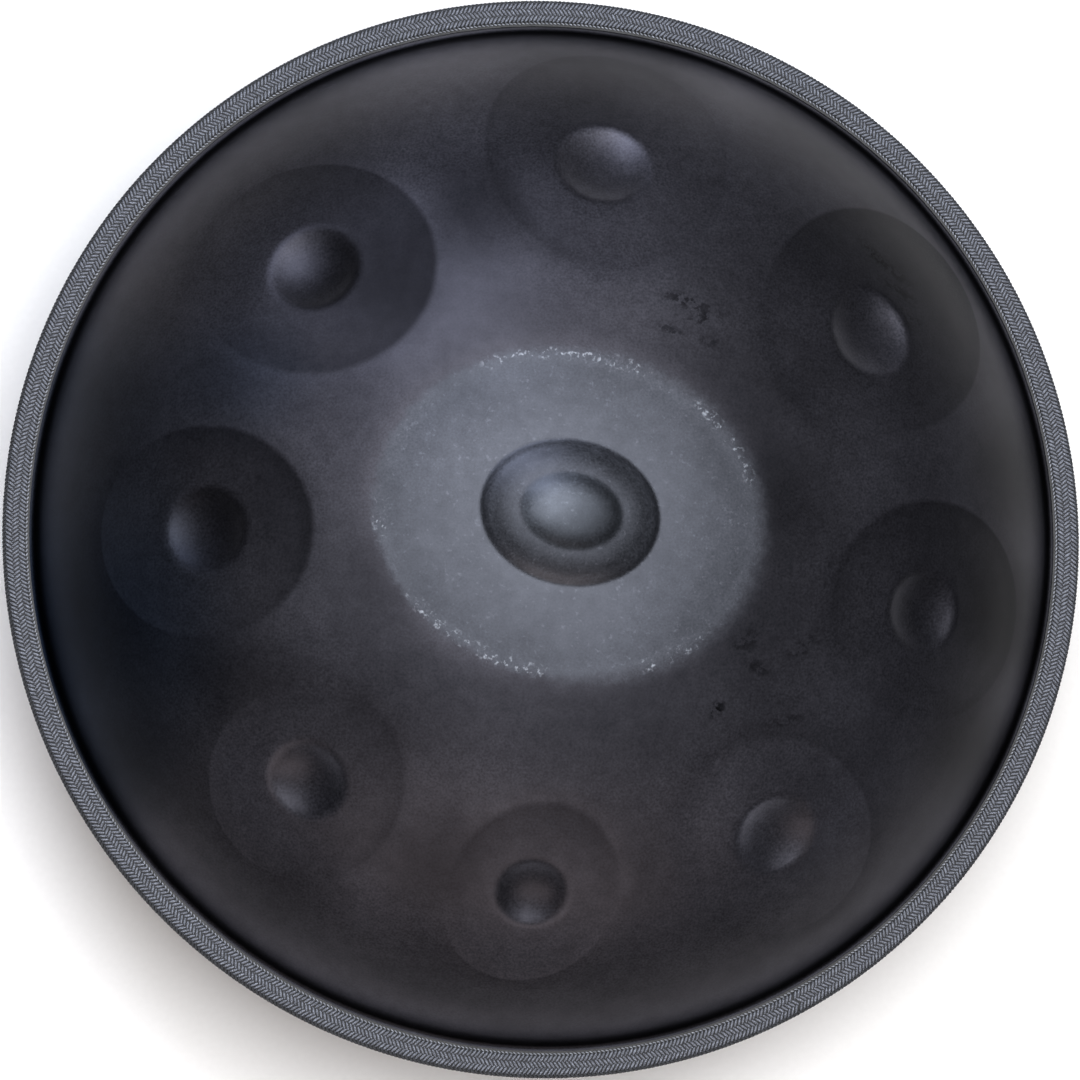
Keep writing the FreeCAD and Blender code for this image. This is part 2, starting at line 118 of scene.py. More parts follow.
def turnRound(bm, steps, sectors=18):
    # turns the outline through one sector, repeats that round the axis and closes the seams
    angle = 2 * math.pi / sectors
    bmesh.ops.spin(bm, geom=bm.verts[:] + bm.edges[:], cent=(0, 0, 0), axis=(0, 0, 1), dvec=(0, 0, 0),
                   angle=angle, steps=steps // sectors, use_merge=False, use_duplicate=False)
    repeatRound(bm, angle, (sectors,))
    bmesh.ops.remove_doubles(bm, verts=bm.verts, dist=1e-6)
    bmesh.ops.recalc_face_normals(bm, faces=bm.faces)


def smoothStep(low, high, values):
    share = np.clip((values - low) / (high - low), 0, 1)
    return share * share * (3 - 2 * share)


def softMax(first, second, blend):
    # the larger of the two, with the crease between them rounded over the blend
    share = np.clip(0.5 + (first - second) / (2 * blend), 0, 1)
    return second + (first - second) * share + blend * share * (1 - share)


# the rim's middle plane and the shapes both shells are drawn to, in metres

shellShape = {
    "wall": 1.1 * mm,
    "footRadius": 251.5 * mm,
    "footSlope": math.radians(61.6),
    "bendRadius": 3.0 * mm,
    "flangeWidth": 9.6 * mm,
    "shoulderShare": 1.526,
    "glueLine": 0.8 * mm,
    "rimHeight": 115.0 * mm,
    "domeHeight": 119.6 * mm,
}
flangeHalf = shellShape["glueLine"] / 2 + shellShape["wall"]
footHeight = flangeHalf + shellShape["bendRadius"]
rimHeight = shellShape["rimHeight"]
flangeRadius = shellShape["footRadius"] + shellShape["flangeWidth"]


def shellCentre(depth):
    # shoulder radius, how far out its centre is, and how far that centre is from the shell's top
    shoulder = shellShape["shoulderShare"] * depth
    reach = shoulder + shellShape["bendRadius"]
    across = shellShape["footRadius"] - reach * math.sin(shellShape["footSlope"])
    drop = depth - footHeight + reach * math.cos(shellShape["footSlope"])
    return shoulder, across, drop


shoulderRadius, shoulderAcross, shoulderDrop = shellCentre(shellShape["domeHeight"])
crownRadius = ((shoulderAcross ** 2 + shoulderDrop ** 2 - shoulderRadius ** 2)
               / (2 * (shoulderDrop - shoulderRadius)))
topHeight = rimHeight + shellShape["domeHeight"]
crownCentre = (0, topHeight - crownRadius)
shoulderCentre = (shoulderAcross, topHeight - shoulderDrop)
footCentre = (shellShape["footRadius"], rimHeight + footHeight)
junctionAngle = math.degrees(math.atan2(shoulderCentre[0], shoulderCentre[1] - crownCentre[1]))
junctionRadius = crownRadius * math.sin(math.radians(junctionAngle))
slopeAngle = math.degrees(shellShape["footSlope"])


# the shells' steel

steelValues = {
    "base": "#424249",
    "lowerBase": "#37373c",
    "mottles": ((34, 0.10), (7, 0.09), (1.1, 0.20)),    # mm and strength: clouds, blotches and grit
    "roughness": (0.37, 0.48),
    # bands round the skin, painted shade and painted light at the rim and a darker ring round the ding: where
    # they start and are full in mm from the axis, then lightness as a power of e
    "rimPaintedShadeBand": (195, 230, 238, 252),        # painted shade, a dark band inside the rim; it also eases off and ends
    "rimPaintedShadeTone": (-0.55, 0.04),               # lightness and warmth of that painted shade
    # painted light just inside the rim, then painted shade at the foot where the shell meets the rim
    "footPaintedLight": (231, 242, 0.35),
    "footPaintedShade": (245.5, 249.5, -1.5),
    "dingRing": (85, 165, -0.8, -0.4, -15),     # full, ends, lightness, how much more towards an azimuth
    # half widths in mm of the steps in tone
    "fieldEdge": (0.8, 2.2),                # rim side and inner side
    "dimpleEdge": 2.0,
    "dingEdge": (2.4, 6.5),                 # left side and right side
    "dingBreak": 5.0,                       # how far that step wanders
    # the ding
    "dingField": "#383a40",
    "dome": "#383a40",
    "button": "#36393f",
    "domePaintedShade": (0.20, 105, 30, 0.6),      # painted light and shade on the dome: lighter towards an azimuth, over a reach in mm, and painted light at its edge
    # painted light and shade on the button: lighter towards an azimuth, over a reach in mm
    "buttonPaintedShade": (0.45, 140, 12),
    # sizes in mm of the marks and of the painted glints
    "flake": 4.0,
    "wander": 6.0,
    "speck": 2.4,
    # painted glints, painted highlights at the ding's edge: their colour, size and inset
    "glint": "#6d7179",
    "glintSize": 2.6,
    "glintInset": 2.2,
    "glintFade": 6,                          # degrees over which a run of painted glints begins and ends
}
oxideAndPaintedLightPatches = {  # heat colour on the skin together with painted sheen and painted shade: x, y, spread in mm, then lightness and warmth as powers of e
    "west shoulder": (-240, -50, 100, -1.5, -0.4),
    "southwest shoulder": (-210, -120, 45, -0.8, -0.1),
    "northwest shoulder": (-230, 55, 75, -0.7, -0.15),
    "east shoulder, behind": (230, 32, 45, -0.9, 0.0),
    "east shoulder, in front": (226, -42, 42, -1.0, 0.0),
    "southeast shoulder": (208, -106, 42, -0.8, 0.0),
    "southwest by west": (-150, -75, 45, -0.6, 0.0),
    "west by northwest": (-155, 68, 45, -0.5, -0.1),
    "inside northwest": (-88, 115, 45, -0.7, 0.0),
    "inside west": (-110, 62, 40, -0.3, 0.0),
    "north by northwest": (-45, 150, 42, -1.0, 0.0),
    "northeast by north": (80, 128, 42, -0.2, 0.0),
    "inside northeast": (124, 70, 30, -0.3, 0.0),
    "beside the ding, east": (95, 8, 40, -0.5, 0.0),
    "beside the ding, west": (-92, -28, 40, -0.5, 0.0),
    "south by southwest": (-58, -165, 42, -0.6, 0.0),
    "south by southeast": (35, -160, 42, -0.4, 0.0),
    "behind the ding": (40, 104, 60, 0.5, 0.0),
    "north": (60, 180, 60, 0.3, 0.0),
    "north shoulder": (-55, 230, 75, 0.5, 0.0),
    "northeast shoulder": (92, 222, 42, 0.4, 0.0),
    "southwest": (-92, -195, 42, 0.2, 0.0),
    "beside the ding, southwest": (-95, -88, 55, -0.3, 0.0),
    "southeast by east": (112, -118, 40, -0.3, 0.0),
    "in front of the ding, east": (66, -82, 35, 0.2, 0.0),
}
toneAndPaintedShadeTable = {  # each field's lightness and its painted light and shade growing outwards and round, then the same for its dimple, all of it painted light and shade there
    "north": (-0.2, 0.0, -0.1, 0.3, 0.1, 0.2),
    "northeast": (-0.5, -0.5, -0.2, 0.3, 0.3, -0.2),
    "east": (-0.4, -0.1, -0.4, -0.1, 0.1, 0.0),
    "southeast": (0.2, 0.0, 0.2, 0.0, -0.5, -0.3),
    "south": (-0.1, 0.6, 0.0, -0.2, -0.6, -0.1),
    "southwest": (0.0, 0.3, -0.3, -0.2, -0.7, 0.0),
    "west": (-0.3, 0.9, 0.5, -0.4, -0.1, 0.1),
    "northwest": (-0.5, 0.4, 0.3, 0.0, -0.2, 0.0),
}
handlingMarks = [  # rubbed places: x, y, half length, half width in mm, turn, lighter or darker
    (58, 104, 17, 3.2, -18, -0.42), (66, 96, 12, 2.2, 12, -0.40), (49, 90, 10, 2.4, -25, -0.34),
    (70, 84, 9, 2.0, -10, -0.30), (86, -60, 9, 5.0, 35, -0.32), (92, -72, 8, 3.4, -20, -0.34),
    (112, -63, 7, 3.2, 25, -0.30), (120, -57, 5, 2.4, 10, -0.28), (72, -92, 6, 2.6, 40, -0.62),
    (108, -96, 15, 2.0, 12, -0.24), (163, 128, 16, 2.2, -38, -0.34), (168, 116, 13, 1.8, -30, -0.30),
    (172, 104, 12, 1.6, -25, -0.26), (154, 136, 10, 2.0, -45, -0.26), (-122, 214, 7, 1.6, 15, 0.45),
    (-109, 219, 5, 1.4, 10, 0.40), (-63, -246, 3, 2.2, 0, 0.8),
]
glintSpans = [(58, 122), (8, 44), (174, 190), (204, 264), (292, 322)]  # azimuths with painted glints at the ding's edge


def skinTintAndPaintedLight(points):
    # the skin's own heat colour at each place, with painted shade and painted light laid on it
    x, y = points[:, 0] / mm, points[:, 1] / mm
    radius = np.hypot(x, y)
    # painted shade: a dark band just inside the rim
    start, full, ease, end = steelValues["rimPaintedShadeBand"]
    share = smoothStep(start, full, radius) * (1 - smoothStep(ease, end, radius))
    light, warm = steelValues["rimPaintedShadeTone"][0] * share, steelValues["rimPaintedShadeTone"][1] * share
    # painted light and then painted shade at the foot, where the shell meets the rim
    for start, full, lightness in (steelValues["footPaintedLight"], steelValues["footPaintedShade"]):
        light = light + lightness * smoothStep(start, full, radius)
    full, end, lightness, extra, azimuth = steelValues["dingRing"]
    turn = np.arctan2(y, x) - math.radians(azimuth)
    light = light + (1 - smoothStep(full, end, radius)) * (lightness + extra * np.cos(turn))
    # heat colour together with painted sheen and painted shade, patch by patch
    for across, along, spread, lightness, warmth in oxideAndPaintedLightPatches.values():
        share = smoothStep(0, 1, 1 - np.hypot(x - across, y - along) / spread)
        light = light + lightness * share
        warm = warm + warmth * share
    base = np.array(hexColour(steelValues["base"])[:3])
    return base * np.exp(np.stack([light + warm, light, light - warm], axis=1))


def rubbedShare(points):
    share = np.zeros(len(points))
    for across, along, halfLength, halfWidth, turn, strength in handlingMarks:
        x, y = points[:, 0] / mm - across, points[:, 1] / mm - along
        angle = math.radians(turn)
        far = np.hypot((x * math.cos(angle) + y * math.sin(angle)) / halfLength,
                       (y * math.cos(angle) - x * math.sin(angle)) / (halfWidth + 1))
        share += strength * (1 - smoothStep(0.3, 1.2, far))
    return np.maximum(share * 1.5, -0.8)


# painted glints: how strong they are at each azimuth
def glintShare(points):
    azimuth = np.degrees(np.arctan2(points[:, 1], points[:, 0])) % 360
    fade = steelValues["glintFade"]
    share = np.zeros(len(points))
    for start, end in glintSpans:
        rise = smoothStep(start, start + fade, azimuth)
        share = np.maximum(share, rise * (1 - smoothStep(end - fade, end, azimuth)))
    return share


shellLayers = ("skinTintAndPaintedLight", "fieldDistance", "fieldBlur", "fieldToneAndPaintedShade", "dimpleDistance", "dimplePaintedLightAndShade",
               "dingDistance", "dingBlur", "domeDistance", "buttonDistance", "ovalPaintedShade", "rubbed", "glints")


def fineNoise(tree, place, size, detail=3.0, roughness=0.5):
    # noise whose lumps are about the given size in mm
    return addNode(tree, "TexNoise", {"Vector": place, "Scale": 1 / (size * mm), "Detail": detail,
                                      "Roughness": roughness}).outputs["Fac"]


def pressedTone(tree, place, read, tone):
    # the tones of the fields with their painted light and shade, the dimples' painted light and shade, and
    # the rubbed places, on top of the skin's tint and painted light
    for gap, blur, amount in (("fieldDistance", "fieldBlur", "fieldToneAndPaintedShade"),
                              ("dimpleDistance", None, "dimplePaintedLightAndShade")):
        width = read[blur] if blur else steelValues["dimpleEdge"]
        depth = addNode(tree, "Math", {0: read[gap], 1: width}, operation="DIVIDE").outputs[0]
        inside = addNode(tree, "MapRange", {"Value": depth, "From Min": 1.0, "From Max": -1.0},
                         interpolation_type="SMOOTHSTEP").outputs["Result"]
        step = addNode(tree, "Mix", {"Factor": inside, 2: 1.0, 3: read[amount]}).outputs[0]
        tone = addNode(tree, "Math", {0: tone, 1: step}, operation="MULTIPLY").outputs[0]
    flakes = fineNoise(tree, place, steelValues["flake"], 4.0, 0.7)
    broken = addNode(tree, "MapRange", {"Value": flakes, "From Min": 0.46, "From Max": 0.54})
    rubbed = addNode(tree, "Math", {0: read["rubbed"], 1: broken.outputs["Result"], 2: 1.0},
                     operation="MULTIPLY_ADD").outputs[0]
    return addNode(tree, "Math", {0: tone, 1: rubbed}, operation="MULTIPLY").outputs[0]


def dingColour(tree, place, read, mottle):
    # the ding's paler field with its dome, its button and scattered pale specks, with painted light and shade
    # across the dome and the button
    colour = hexColour(steelValues["dingField"])
    for gap, key in (("domeDistance", "dome"), ("buttonDistance", "button")):
        inside = addNode(tree, "MapRange", {"Value": read[gap], "From Min": 0.8, "From Max": -0.8})
        colour = addNode(tree, "Mix", {"Factor": inside.outputs["Result"], 6: colour,
                                       7: hexColour(steelValues[key])}, data_type="RGBA").outputs[2]
    specks = fineNoise(tree, place, steelValues["speck"], 3.0, 0.6)
    specks = addNode(tree, "MapRange", {"Value": specks, "From Min": 0.60, "From Max": 0.72,
                                        "To Min": 1.0, "To Max": 1.5}).outputs["Result"]
    tone = addNode(tree, "Math", {0: mottle, 1: specks}, operation="MULTIPLY").outputs[0]
    tone = addNode(tree, "Math", {0: tone, 1: read["ovalPaintedShade"]}, operation="MULTIPLY").outputs[0]
    return addNode(tree, "VectorMath", {0: colour, "Scale": tone}, operation="SCALE").outputs[0]


def dingShare(tree, place, read):
    # one inside the ding and none outside, with an edge that wanders
    wander = fineNoise(tree, place, steelValues["wander"], 4.0, 0.7)
    shift = addNode(tree, "Math", {0: wander, 1: 2 * steelValues["dingBreak"], 2: read["dingDistance"]},
                    operation="MULTIPLY_ADD").outputs[0]
    shift = addNode(tree, "Math", {0: shift, 1: steelValues["dingBreak"]}, operation="SUBTRACT").outputs[0]
    depth = addNode(tree, "Math", {0: shift, 1: read["dingBlur"]}, operation="DIVIDE").outputs[0]
    return addNode(tree, "MapRange", {"Value": depth, "From Min": 1.0, "From Max": -1.0},
                   interpolation_type="SMOOTHSTEP").outputs["Result"]


def glintMask(tree, place, read):
    # painted glints: small bright spots in a band just inside the ding's edge
    off = addNode(tree, "Math", {0: read["dingDistance"], 1: steelValues["glintInset"]}, operation="ADD")
    off = addNode(tree, "Math", {0: off.outputs[0]}, operation="ABSOLUTE").outputs[0]
    band = addNode(tree, "MapRange", {"Value": off, "From Min": 4.0, "From Max": 1.0}).outputs["Result"]
    spots = fineNoise(tree, place, steelValues["glintSize"], 2.0, 0.6)
    spots = addNode(tree, "MapRange", {"Value": spots, "From Min": 0.56, "From Max": 0.70}).outputs["Result"]
    mask = addNode(tree, "Math", {0: band, 1: spots}, operation="MULTIPLY").outputs[0]
    return addNode(tree, "Math", {0: mask, 1: read["glints"]}, operation="MULTIPLY").outputs[0]


def nitridedSteel(name, pressed):
    # nitrided steel, deep drawn: heat blues and browns the skin, so its soft sheen is uneven and gritty; on
    # the upper shell the colour also carries painted shade, painted light and painted glints
    material, tree, shader = newMaterial(name)
    place = addNode(tree, "TexCoord").outputs["Object"]
    mottle = 1.0
    for size, spread in steelValues["mottles"]:
        grit = fineNoise(tree, place, size)
        factor = addNode(tree, "MapRange", {"Value": grit, "From Min": 0.3, "From Max": 0.7,
                                            "To Min": 1 - spread, "To Max": 1 + spread}).outputs["Result"]
        mottle = addNode(tree, "Math", {0: factor, 1: mottle}, operation="MULTIPLY").outputs[0]
    smooth, dull = steelValues["roughness"]
    rough = addNode(tree, "MapRange", {"Value": grit, "From Min": 0.3, "From Max": 0.7,
                                       "To Min": smooth, "To Max": dull}).outputs["Result"]
    if pressed:
        read = {}
        for key in shellLayers:
            socket = "Color" if key == "skinTintAndPaintedLight" else "Fac"
            read[key] = addNode(tree, "Attribute", attribute_name=key).outputs[socket]
        tone = pressedTone(tree, place, read, mottle)
        # the skin tint holds painted shade and painted light besides the heat colour
        colour = addNode(tree, "VectorMath", {0: read["skinTintAndPaintedLight"], "Scale": tone},
                         operation="SCALE").outputs[0]
        colour = addNode(tree, "Mix", {"Factor": dingShare(tree, place, read), 6: colour,
                                       7: dingColour(tree, place, read, mottle)}, data_type="RGBA").outputs[2]
        colour = addNode(tree, "Mix", {"Factor": glintMask(tree, place, read), 6: colour,
                                       7: hexColour(steelValues["glint"])}, data_type="RGBA").outputs[2]
    else:
        colour = addNode(tree, "VectorMath", {0: hexColour(steelValues["lowerBase"])[:3], "Scale": mottle},
                         operation="SCALE").outputs[0]
    tree.links.new(colour, shader.inputs["Base Color"])
    tree.links.new(rough, shader.inputs["Roughness"])
    bump = addNode(tree, "Bump", {"Height": grit, "Strength": 0.12, "Distance": 0.1 * mm})
    tree.links.new(bump.outputs["Normal"], shader.inputs["Normal"])
    shader.inputs["Metallic"].default_value = 1.0
    return material


def clothMaterial(name, values):
    # textured polyester yarn, air-jet bulked and braided: matt, with paler fibre ends and uneven dye
    material, tree, shader = newMaterial(name)
    place = addNode(tree, "TexCoord").outputs["Object"]
    dye = addNode(tree, "TexNoise", {"Vector": place, "Scale": 1 / (values["dyePatch"] * mm), "Detail": 2.0})
    fibre = addNode(tree, "TexNoise", {"Vector": place, "Scale": 1 / (values["fibre"] * mm), "Detail": 2.0,
                                       "Roughness": 0.65})
    share = addNode(tree, "MapRange", {"Value": fibre.outputs["Fac"], "From Min": 0.35, "From Max": 0.68})
    colour = addNode(tree, "Mix", {"Factor": share.outputs["Result"], 6: hexColour(values["shade"]),
                                   7: hexColour(values["fibreEnd"])}, data_type="RGBA").outputs[2]
    tone = addNode(tree, "MapRange", {"Value": dye.outputs["Fac"], "From Min": 0.3, "From Max": 0.7,
                                      "To Min": 0.72, "To Max": 1.22})
    colour = addNode(tree, "VectorMath", {0: colour, "Scale": tone.outputs["Result"]}, operation="SCALE")
    tree.links.new(colour.outputs[0], shader.inputs["Base Color"])
    rough = addNode(tree, "MapRange", {"Value": fibre.outputs["Fac"], "To Min": 0.66, "To Max": 0.9})
    tree.links.new(rough.outputs["Result"], shader.inputs["Roughness"])
    bump = addNode(tree, "Bump", {"Height": fibre.outputs["Fac"], "Strength": 0.35, "Distance": 0.15 * mm})
    tree.links.new(bump.outputs["Normal"], shader.inputs["Normal"])
    return material


def rubberMaterial():
    # black EPDM rubber, extruded: close to black, with a waxy bloom and a faint drag from the die
    material, tree, shader = newMaterial("extrudedRubber")
    place = addNode(tree, "TexCoord").outputs["Object"]
    bloom = addNode(tree, "TexNoise", {"Vector": place, "Scale": 1 / (9 * mm), "Detail": 4.0})
    share = addNode(tree, "MapRange", {"Value": bloom.outputs["Fac"], "From Min": 0.4, "From Max": 0.75})
    colour = addNode(tree, "Mix", {"Factor": share.outputs["Result"], 6: hexColour("#17181a"),
                                   7: hexColour("#2b2c2f")}, data_type="RGBA")
    tree.links.new(colour.outputs[2], shader.inputs["Base Color"])
    grain = addNode(tree, "TexNoise", {"Vector": place, "Scale": 1 / (0.8 * mm), "Detail": 2.0})
    rough = addNode(tree, "MapRange", {"Value": grain.outputs["Fac"], "To Min": 0.5, "To Max": 0.75})
    tree.links.new(rough.outputs["Result"], shader.inputs["Roughness"])
    bump = addNode(tree, "Bump", {"Height": grain.outputs["Fac"], "Strength": 0.2, "Distance": 0.05 * mm})
    tree.links.new(bump.outputs["Normal"], shader.inputs["Normal"])
    return material


def epoxyMaterial():
    # cured epoxy bond, dark grey and glossy, with small air bubbles and filler specks
    material, tree, shader = newMaterial("curedEpoxy")
    place = addNode(tree, "TexCoord").outputs["Object"]
    specks = addNode(tree, "TexVoronoi", {"Vector": place, "Scale": 1 / (1.6 * mm)})
    share = addNode(tree, "MapRange", {"Value": specks.outputs["Distance"],
                                       "From Min": 0.1, "From Max": 0.35})
    colour = addNode(tree, "Mix", {"Factor": share.outputs["Result"], 6: hexColour("#5a5b5e"),
                                   7: hexColour("#343537")}, data_type="RGBA")
    tree.links.new(colour.outputs[2], shader.inputs["Base Color"])
    rough = addNode(tree, "MapRange", {"Value": specks.outputs["Distance"], "To Min": 0.45, "To Max": 0.28})
    tree.links.new(rough.outputs["Result"], shader.inputs["Roughness"])
    return material


def paintedFloor():
    # matt white emulsion rolled on board: even, with a faint stipple
    material, tree, shader = newMaterial("rolledPaint")
    place = addNode(tree, "TexCoord").outputs["Object"]
    dull, bright = floorValues["paint"]
    stipple = addNode(tree, "TexNoise", {"Vector": place, "Scale": 1 / (floorValues["stipple"] * mm),
                                         "Detail": 2.0})
    colour = addNode(tree, "Mix", {"Factor": stipple.outputs["Fac"], 6: hexColour(dull),
                                   7: hexColour(bright)}, data_type="RGBA")
    tree.links.new(colour.outputs[2], shader.inputs["Base Color"])
    shader.inputs["Roughness"].default_value = 0.9
    bump = addNode(tree, "Bump", {"Height": stipple.outputs["Fac"], "Strength": 0.05, "Distance": 0.1 * mm})
    tree.links.new(bump.outputs["Normal"], shader.inputs["Normal"])
    return material


# upper shell with its tone fields and the ding

fieldTable = {
    # azimuth, radius, half length, half width, turn, then the dimple's azimuth, radius and half width
    "north": (82.6, 184.4, 68.7, 59.7, 4.0, 83.1, 175.8, 22.8),
    "northeast": (33.0, 188.8, 70.5, 58.0, -1.0, 31.8, 178.2, 22.3),
    "east": (-12.7, 188.0, 60.6, 53.4, 5.0, -13.2, 182.0, 20.3),
    "southeast": (-55.0, 187.1, 56.4, 47.0, 8.0, -55.1, 183.5, 20.0),
    "south": (-94.4, 181.2, 49.7, 41.0, -15.0, -94.4, 179.8, 17.3),
    "southwest": (-134.0, 177.4, 52.2, 47.2, 6.0, -134.2, 175.5, 18.7),
    "west": (-177.8, 173.4, 56.6, 50.8, -3.0, -178.0, 171.6, 20.5),
    "northwest": (134.4, 172.3, 61.8, 56.0, 20.0, 134.7, 170.4, 21.9),
}
upperValues = {
    "turns": 414,
    "fieldDepth": 0.5 * mm,
    "fieldEase": 9.0 * mm,       # half width of the soft step at a field's edge
    "dimpleDepth": 5.2 * mm,
    "dimpleBlend": 0.6 * mm,
    "dingLength": 187.5 * mm,
    "dingWidth": 157.5 * mm,
    "dingAzimuth": -10.0,
    "dingSeat": 0.8 * mm,
    "dome": (79.0 * mm, 65.5 * mm, 7.0 * mm, 0.0),        # length, width, rise, seat above the field
    "button": (48.2 * mm, 36.9 * mm, 4.4 * mm, 4.8 * mm),
    "creaseBlend": 0.7 * mm,
    "ovalReach": 52.0 * mm,         # finest mesh out to here, for the dome and the button
    "dingReach": 95.0 * mm,
    "pressedReach": 247.5 * mm,     # nothing is pressed into the sheet beyond this
}


def onDome(azimuth, radius, turnInPlane):
    # a place on the shoulder's face: Z along the normal, X towards the rim before the turn
    tilt = math.asin((radius - shoulderCentre[0]) / shoulderRadius)
    height = shoulderCentre[1] + shoulderRadius * math.cos(tilt)
    turn = Matrix.Rotation(math.radians(azimuth), 4, "Z")
    lean = Matrix.Rotation(tilt, 4, "Y") @ Matrix.Rotation(math.radians(turnInPlane), 4, "Z")
    return turn @ Matrix.Translation((radius, 0, height)) @ lean


def ellipseGap(across, along, halfAcross, halfAlong):
    # signed distance from an ellipse, minus inside
    ratio = np.maximum(np.hypot(across / halfAcross, along / halfAlong), 1e-6)
    return np.hypot(across, along) * (1 - 1 / ratio)


def localPlaces(points, place):
    inverse = np.array(place.inverted())
    return points @ inverse[:3, :3].T + inverse[:3, 3]


def pressSteps(points):
    # how far each place on the shell is sunk along the normal, with its distances in mm and its tones
    count = len(points)
    fieldGap = np.full(count, 1.0)
    dimpleGap = np.full(count, 1.0)
    dimpleSink = np.zeros(count)
    fieldToneAndPaintedShade = np.ones(count)
    fieldBlur = np.ones(count)
    dimplePaintedLightAndShade = np.ones(count)
    inner, outer = steelValues["fieldEdge"][1], steelValues["fieldEdge"][0]
    for name, row in fieldTable.items():
        azimuth, radius, halfLength, halfWidth, turn, dimpleAzimuth, dimpleRadius, dimpleHalf = row
        light, lightOut, lightRound, deep, deepOut, deepRound = toneAndPaintedShadeTable[name]
        local = localPlaces(points, onDome(azimuth, radius * mm, turn))
        gap = ellipseGap(local[:, 0], local[:, 1], halfLength * mm, halfWidth * mm)
        gap = np.where(local[:, 2] < -0.06, 1.0, gap)
        nearest = gap < fieldGap
        turn = math.radians(turn)
        out = local[:, 0] * math.cos(turn) - local[:, 1] * math.sin(turn)
        along = local[:, 0] * math.sin(turn) + local[:, 1] * math.cos(turn)
        # painted light and shade: each field grows lighter or darker outwards and round
        growth = (lightOut * np.clip(out, -0.07, 0.07) + lightRound * np.clip(along, -0.07, 0.07)) / 0.06
        tone = np.exp(light + growth)
        fieldToneAndPaintedShade = np.where(nearest, tone, fieldToneAndPaintedShade)
        share = smoothStep(-halfLength * mm, halfLength * mm, out)
        fieldBlur = np.where(nearest, inner + (outer - inner) * share, fieldBlur)
        fieldGap = np.minimum(fieldGap, gap)
        local = localPlaces(points, onDome(dimpleAzimuth, dimpleRadius * mm, 0))
        side = np.hypot(local[:, 0], local[:, 1])
        half = dimpleHalf * mm
        ball = (half ** 2 + upperValues["dimpleDepth"] ** 2) / (2 * upperValues["dimpleDepth"])
        sink = np.sqrt(np.maximum(ball ** 2 - side ** 2, 0)) - (ball - upperValues["dimpleDepth"])
        sink = np.where(side < ball * 0.98, sink, -0.01)
        dimpleSink = np.maximum(dimpleSink, softMax(sink, np.zeros(count), upperValues["dimpleBlend"]))
        # painted light and shade in each dimple, lighter or darker overall, outwards and round
        across = np.clip(local[:, :2], -0.025, 0.025) / 0.02
        tone = np.exp(deep + deepOut * across[:, 0] + deepRound * across[:, 1])
        dimplePaintedLightAndShade = np.where(side - half < dimpleGap, tone, dimplePaintedLightAndShade)
        dimpleGap = np.minimum(dimpleGap, side - half)
    turn = math.radians(-upperValues["dingAzimuth"])
    across = points[:, 0] * math.cos(turn) - points[:, 1] * math.sin(turn)
    along = points[:, 0] * math.sin(turn) + points[:, 1] * math.cos(turn)
    dingGap = ellipseGap(across, along, upperValues["dingLength"] / 2, upperValues["dingWidth"] / 2)
    ease = upperValues["fieldEase"]
    sunk = 1 - smoothStep(-ease, ease, np.minimum(fieldGap, dingGap))
    left, right = steelValues["dingEdge"]
    layers = {"fieldDistance": fieldGap / mm, "fieldBlur": fieldBlur, "fieldToneAndPaintedShade": fieldToneAndPaintedShade,
              "dimpleDistance": dimpleGap / mm, "dimplePaintedLightAndShade": dimplePaintedLightAndShade, "dingDistance": dingGap / mm,
              "dingBlur": left + (right - left) * smoothStep(-0.06, 0.09, across),
              "rubbed": rubbedShare(points), "glints": glintShare(points)}
    domeGap, buttonGap = (ellipseGap(across, along, upperValues[key][0] / 2, upperValues[key][1] / 2)
                          for key in ("dome", "button"))
    # painted light and shade on the dome and the button, lighter on one side, and painted light at the dome's
    # edge
    lift, azimuth, reach, edge = steelValues["domePaintedShade"]
    lean = across * math.cos(math.radians(azimuth)) + along * math.sin(math.radians(azimuth))
    shade = lift * np.clip(lean / (reach * mm), -1, 1) + edge * smoothStep(-0.005, 0.0, domeGap)
    lift, azimuth, reach = steelValues["buttonPaintedShade"]
    lean = across * math.cos(math.radians(azimuth)) + along * math.sin(math.radians(azimuth))
    onButton = 1 - smoothStep(-0.002, 0.001, buttonGap)
    shade = shade + (lift * np.clip(lean / (reach * mm), -1, 1) - shade) * onButton
    layers["ovalPaintedShade"] = np.exp(shade * (1 - smoothStep(0.001, 0.0032, domeGap)))
    layers["domeDistance"] = domeGap / mm
    layers["buttonDistance"] = buttonGap / mm
    return sunk * upperValues["fieldDepth"] + dimpleSink, layers, across, along


def dingHeight(across, along):
    # height of the two oval steps' face above the axis plane
    height = np.full(len(across), -1.0)
    level = topHeight - upperValues["dingSeat"]
    for length, width, rise, seat in (upperValues["dome"], upperValues["button"]):
        ratio = np.hypot(across / (length / 2), along / (width / 2))
        oval = level + seat - rise + 2 * rise * np.sqrt(np.maximum(1 - 0.75 * ratio ** 2, 0))
        oval = np.where(ratio < 1.12, oval, -1.0)
        height = np.where(height < 0, oval, softMax(oval, height, upperValues["creaseBlend"]))
    return height


